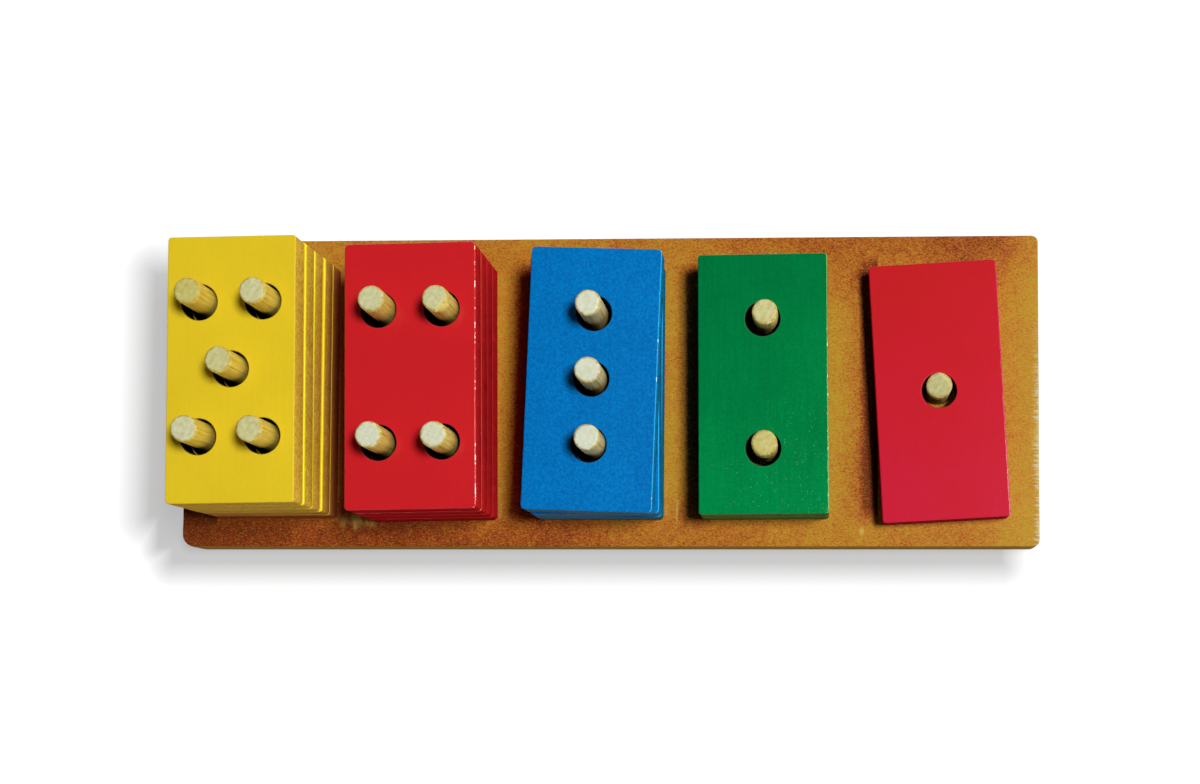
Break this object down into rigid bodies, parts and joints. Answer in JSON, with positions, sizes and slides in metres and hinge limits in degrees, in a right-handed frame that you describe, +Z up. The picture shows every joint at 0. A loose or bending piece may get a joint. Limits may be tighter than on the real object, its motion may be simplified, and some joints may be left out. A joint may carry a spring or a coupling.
{
  "type": "counting pegboard",
  "caption": "Wooden counting toy: a varnished board with groups of upright dowel pegs, each group holding a stack of painted drilled plates that lift off.",
  "frame": {"origin": "centre of the board's underside, which is the bottom centre of the whole toy", "axes": "+X along the board from the stack of most plates to the single plate, +Y across the board to its back edge, +Z up along the pegs"},
  "size_m": [0.3416, 0.124, 0.07],
  "materials": {
    "board_varnish": "orange-brown varnish, satin, fine grain along the length",
    "peg_dowel": "bare pale dowel, cut ends eased by hand",
    "yellow_paint": "satin yellow paint on wood, worn edges",
    "red_paint": "glossy red paint on wood, chipped edges",
    "blue_paint": "thin blue paint on wood, mottled",
    "green_paint": "satin green paint on wood, fine streaks along the length",
    "crimson_paint": "satin crimson red paint on wood"
  },
  "bodies": {
    "base": {"board": "board_varnish", "five_peg_1": "peg_dowel", "five_peg_2": "peg_dowel", "five_peg_3": "peg_dowel", "five_peg_4": "peg_dowel", "five_peg_5": "peg_dowel", "four_peg_1": "peg_dowel", "four_peg_2": "peg_dowel", "four_peg_3": "peg_dowel", "four_peg_4": "peg_dowel", "three_peg_1": "peg_dowel", "three_peg_2": "peg_dowel", "three_peg_3": "peg_dowel", "two_peg_1": "peg_dowel", "two_peg_2": "peg_dowel", "one_peg_1": "peg_dowel"},
    "five_plate_1": {"five_plate_1": "yellow_paint"},
    "five_plate_2": {"five_plate_2": "yellow_paint"},
    "five_plate_3": {"five_plate_3": "yellow_paint"},
    "five_plate_4": {"five_plate_4": "yellow_paint"},
    "five_plate_5": {"five_plate_5": "yellow_paint"},
    "four_plate_1": {"four_plate_1": "red_paint"},
    "four_plate_2": {"four_plate_2": "red_paint"},
    "four_plate_3": {"four_plate_3": "red_paint"},
    "four_plate_4": {"four_plate_4": "red_paint"},
    "three_plate_1": {"three_plate_1": "blue_paint"},
    "three_plate_2": {"three_plate_2": "blue_paint"},
    "three_plate_3": {"three_plate_3": "blue_paint"},
    "two_plate_1": {"two_plate_1": "green_paint"},
    "two_plate_2": {"two_plate_2": "green_paint"},
    "one_plate_1": {"one_plate_1": "crimson_paint"}
  },
  "joints": [
    {"name": "five_plate_1_lift", "type": "slide", "parent": "base", "child": "five_plate_1", "axis": [0, 0, 1], "range_m": [0, 0.061]},
    {"name": "five_plate_2_lift", "type": "slide", "parent": "five_plate_1", "child": "five_plate_2", "axis": [0, 0, 1], "range_m": [0, 0.052]},
    {"name": "five_plate_3_lift", "type": "slide", "parent": "five_plate_2", "child": "five_plate_3", "axis": [0, 0, 1], "range_m": [0, 0.043]},
    {"name": "five_plate_4_lift", "type": "slide", "parent": "five_plate_3", "child": "five_plate_4", "axis": [0, 0, 1], "range_m": [0, 0.034]},
    {"name": "five_plate_5_lift", "type": "slide", "parent": "five_plate_4", "child": "five_plate_5", "axis": [0, 0, 1], "range_m": [0, 0.025]},
    {"name": "four_plate_1_lift", "type": "slide", "parent": "base", "child": "four_plate_1", "axis": [0, 0, 1], "range_m": [0, 0.052]},
    {"name": "four_plate_2_lift", "type": "slide", "parent": "four_plate_1", "child": "four_plate_2", "axis": [0, 0, 1], "range_m": [0, 0.043]},
    {"name": "four_plate_3_lift", "type": "slide", "parent": "four_plate_2", "child": "four_plate_3", "axis": [0, 0, 1], "range_m": [0, 0.034]},
    {"name": "four_plate_4_lift", "type": "slide", "parent": "four_plate_3", "child": "four_plate_4", "axis": [0, 0, 1], "range_m": [0, 0.025]},
    {"name": "three_plate_1_lift", "type": "slide", "parent": "base", "child": "three_plate_1", "axis": [0, 0, 1], "range_m": [0, 0.043]},
    {"name": "three_plate_2_lift", "type": "slide", "parent": "three_plate_1", "child": "three_plate_2", "axis": [0, 0, 1], "range_m": [0, 0.034]},
    {"name": "three_plate_3_lift", "type": "slide", "parent": "three_plate_2", "child": "three_plate_3", "axis": [0, 0, 1], "range_m": [0, 0.025]},
    {"name": "two_plate_1_lift", "type": "slide", "parent": "base", "child": "two_plate_1", "axis": [0, 0, 1], "range_m": [0, 0.027]},
    {"name": "two_plate_2_lift", "type": "slide", "parent": "two_plate_1", "child": "two_plate_2", "axis": [0, 0, 1], "range_m": [0, 0.018]},
    {"name": "one_plate_1_lift", "type": "slide", "parent": "base", "child": "one_plate_1", "axis": [0, 0, 1], "range_m": [0, 0.017]}
  ]
}
